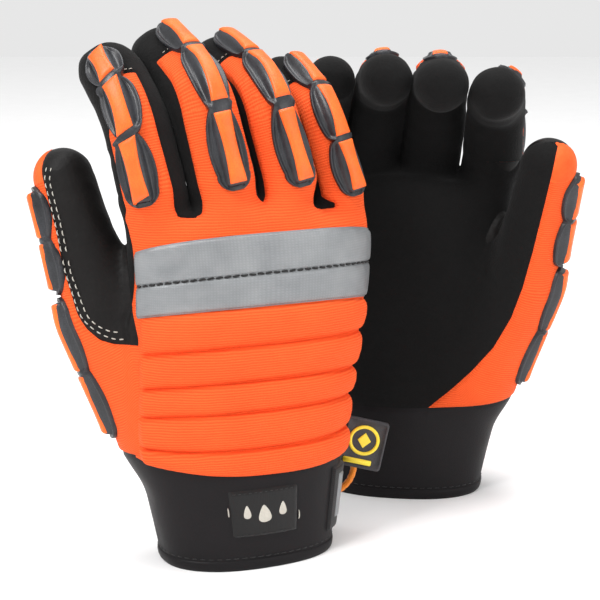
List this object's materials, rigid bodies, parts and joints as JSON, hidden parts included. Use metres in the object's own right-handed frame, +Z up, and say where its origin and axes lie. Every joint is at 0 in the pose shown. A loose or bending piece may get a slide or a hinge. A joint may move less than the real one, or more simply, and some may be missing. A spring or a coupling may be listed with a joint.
{
  "type": "work gloves",
  "caption": "Pair of padded impact work gloves standing on their cuffs, with moulded finger guards, ribbed knit backs, reflective strips and neoprene cuffs; fingers and thumbs bend.",
  "frame": {"origin": "centre of the bottom of the box around both gloves, on the surface they stand on", "axes": "+Z up from the cuffs to the fingertips; +X to the right when the back of the front glove is seen; +Y from the front glove to the rear glove"},
  "size_m": [0.2491, 0.1646, 0.233],
  "materials": {
    "neoprene": "matte",
    "black_suede": "matte",
    "black_leather": "satin",
    "orange_knit": "matte",
    "lining": "matte",
    "reflective": "satin",
    "guard_rubber": "satin",
    "orange_pad": "satin",
    "label": "satin",
    "webbing": "matte",
    "tag_rubber": "satin",
    "cord": "matte"
  },
  "bodies": {
    "front_hand": {"front_cuff": "neoprene", "front_palm_panel": "black_suede", "front_back_panel": "orange_knit", "front_lining": "lining", "front_rib_pads": "orange_knit", "front_reflective_strips": "reflective", "front_thumb_base": "orange_knit", "front_side_guard": "guard_rubber", "front_cuff_label": "label", "front_pull_loop": "webbing", "tag_cord": "cord"},
    "front_thumb": {"front_thumb_shell": "black_suede", "front_thumb_back": "orange_knit", "front_thumb_patch": "black_leather", "front_thumb_guard": "guard_rubber"},
    "front_index": {"front_index_shell": "black_suede", "front_index_back": "orange_knit", "front_index_guard": "guard_rubber", "front_index_pads": "orange_pad"},
    "front_middle": {"front_middle_shell": "black_suede", "front_middle_back": "orange_knit", "front_middle_guard": "guard_rubber", "front_middle_pads": "orange_pad"},
    "front_ring": {"front_ring_shell": "black_suede", "front_ring_back": "orange_knit", "front_ring_guard": "guard_rubber", "front_ring_pads": "orange_pad"},
    "front_little": {"front_little_shell": "black_suede", "front_little_back": "orange_knit", "front_little_guard": "guard_rubber", "front_little_pads": "orange_pad"},
    "rear_hand": {"rear_cuff": "neoprene", "rear_palm_panel": "black_suede", "rear_back_panel": "orange_knit", "rear_lining": "lining", "rear_rib_pads": "orange_knit", "rear_reflective_strips": "reflective", "rear_thumb_base": "orange_knit", "rear_side_guard": "guard_rubber"},
    "rear_thumb": {"rear_thumb_shell": "black_suede", "rear_thumb_back": "orange_knit", "rear_thumb_patch": "black_leather", "rear_thumb_guard": "guard_rubber"},
    "rear_index": {"rear_index_shell": "black_suede", "rear_index_back": "orange_knit", "rear_index_guard": "guard_rubber", "rear_index_pads": "orange_pad"},
    "rear_middle": {"rear_middle_shell": "black_suede", "rear_middle_back": "orange_knit", "rear_middle_guard": "guard_rubber", "rear_middle_pads": "orange_pad"},
    "rear_ring": {"rear_ring_shell": "black_suede", "rear_ring_back": "orange_knit", "rear_ring_guard": "guard_rubber", "rear_ring_pads": "orange_pad"},
    "rear_little": {"rear_little_shell": "black_suede", "rear_little_back": "orange_knit", "rear_little_guard": "guard_rubber", "rear_little_pads": "orange_pad"},
    "side_tag": {"side_tag": "tag_rubber"}
  },
  "joints": [
    {"name": "front_index_knuckle", "type": "hinge", "parent": "front_hand", "child": "front_index", "pos_m": [-0.06633, -0.06161, 0.162], "axis": [-0.9135, -0.4067, 0], "range_deg": [-10, 36]},
    {"name": "front_middle_knuckle", "type": "hinge", "parent": "front_hand", "child": "front_middle", "pos_m": [-0.03812, -0.05343, 0.166], "axis": [-0.9135, -0.4067, 0], "range_deg": [-10, 45]},
    {"name": "front_ring_knuckle", "type": "hinge", "parent": "front_hand", "child": "front_ring", "pos_m": [-0.01204, -0.04072, 0.165], "axis": [-0.9135, -0.4067, 0], "range_deg": [-10, 45]},
    {"name": "front_little_knuckle", "type": "hinge", "parent": "front_hand", "child": "front_little", "pos_m": [0.01005, -0.02541, 0.1585], "axis": [-0.9135, -0.4067, 0], "range_deg": [-10, 45]},
    {"name": "front_thumb_joint", "type": "hinge", "parent": "front_hand", "child": "front_thumb", "pos_m": [-0.09218, -0.04903, 0.122], "axis": [-0.9135, -0.4067, 0], "range_deg": [-10, 25]},
    {"name": "rear_index_knuckle", "type": "hinge", "parent": "rear_hand", "child": "rear_index", "pos_m": [0.08601, 0.04443, 0.162], "axis": [0.9848, -0.1736, 0], "range_deg": [-10, 28]},
    {"name": "rear_middle_knuckle", "type": "hinge", "parent": "rear_hand", "child": "rear_middle", "pos_m": [0.05805, 0.05342, 0.166], "axis": [0.9848, -0.1736, 0], "range_deg": [-10, 45]},
    {"name": "rear_ring_knuckle", "type": "hinge", "parent": "rear_hand", "child": "rear_ring", "pos_m": [0.02932, 0.05747, 0.165], "axis": [0.9848, -0.1736, 0], "range_deg": [-10, 45]},
    {"name": "rear_little_knuckle", "type": "hinge", "parent": "rear_hand", "child": "rear_little", "pos_m": [0.00245, 0.05713, 0.1585], "axis": [0.9848, -0.1736, 0], "range_deg": [-10, 45]},
    {"name": "rear_thumb_joint", "type": "hinge", "parent": "rear_hand", "child": "rear_thumb", "pos_m": [0.10041, 0.01955, 0.122], "axis": [0.9848, -0.1736, 0], "range_deg": [-10, 25]},
    {"name": "tag_flap", "type": "hinge", "parent": "front_hand", "child": "side_tag", "pos_m": [0.013, -0.0265, 0.045], "axis": [0.2079, 0, 0.9781], "range_deg": [-35, 10]},
    {"name": "rear_glove_lift", "type": "slide", "parent": "front_hand", "child": "rear_hand", "axis": [0, 0, 1], "range_m": [0, 0.2]}
  ]
}
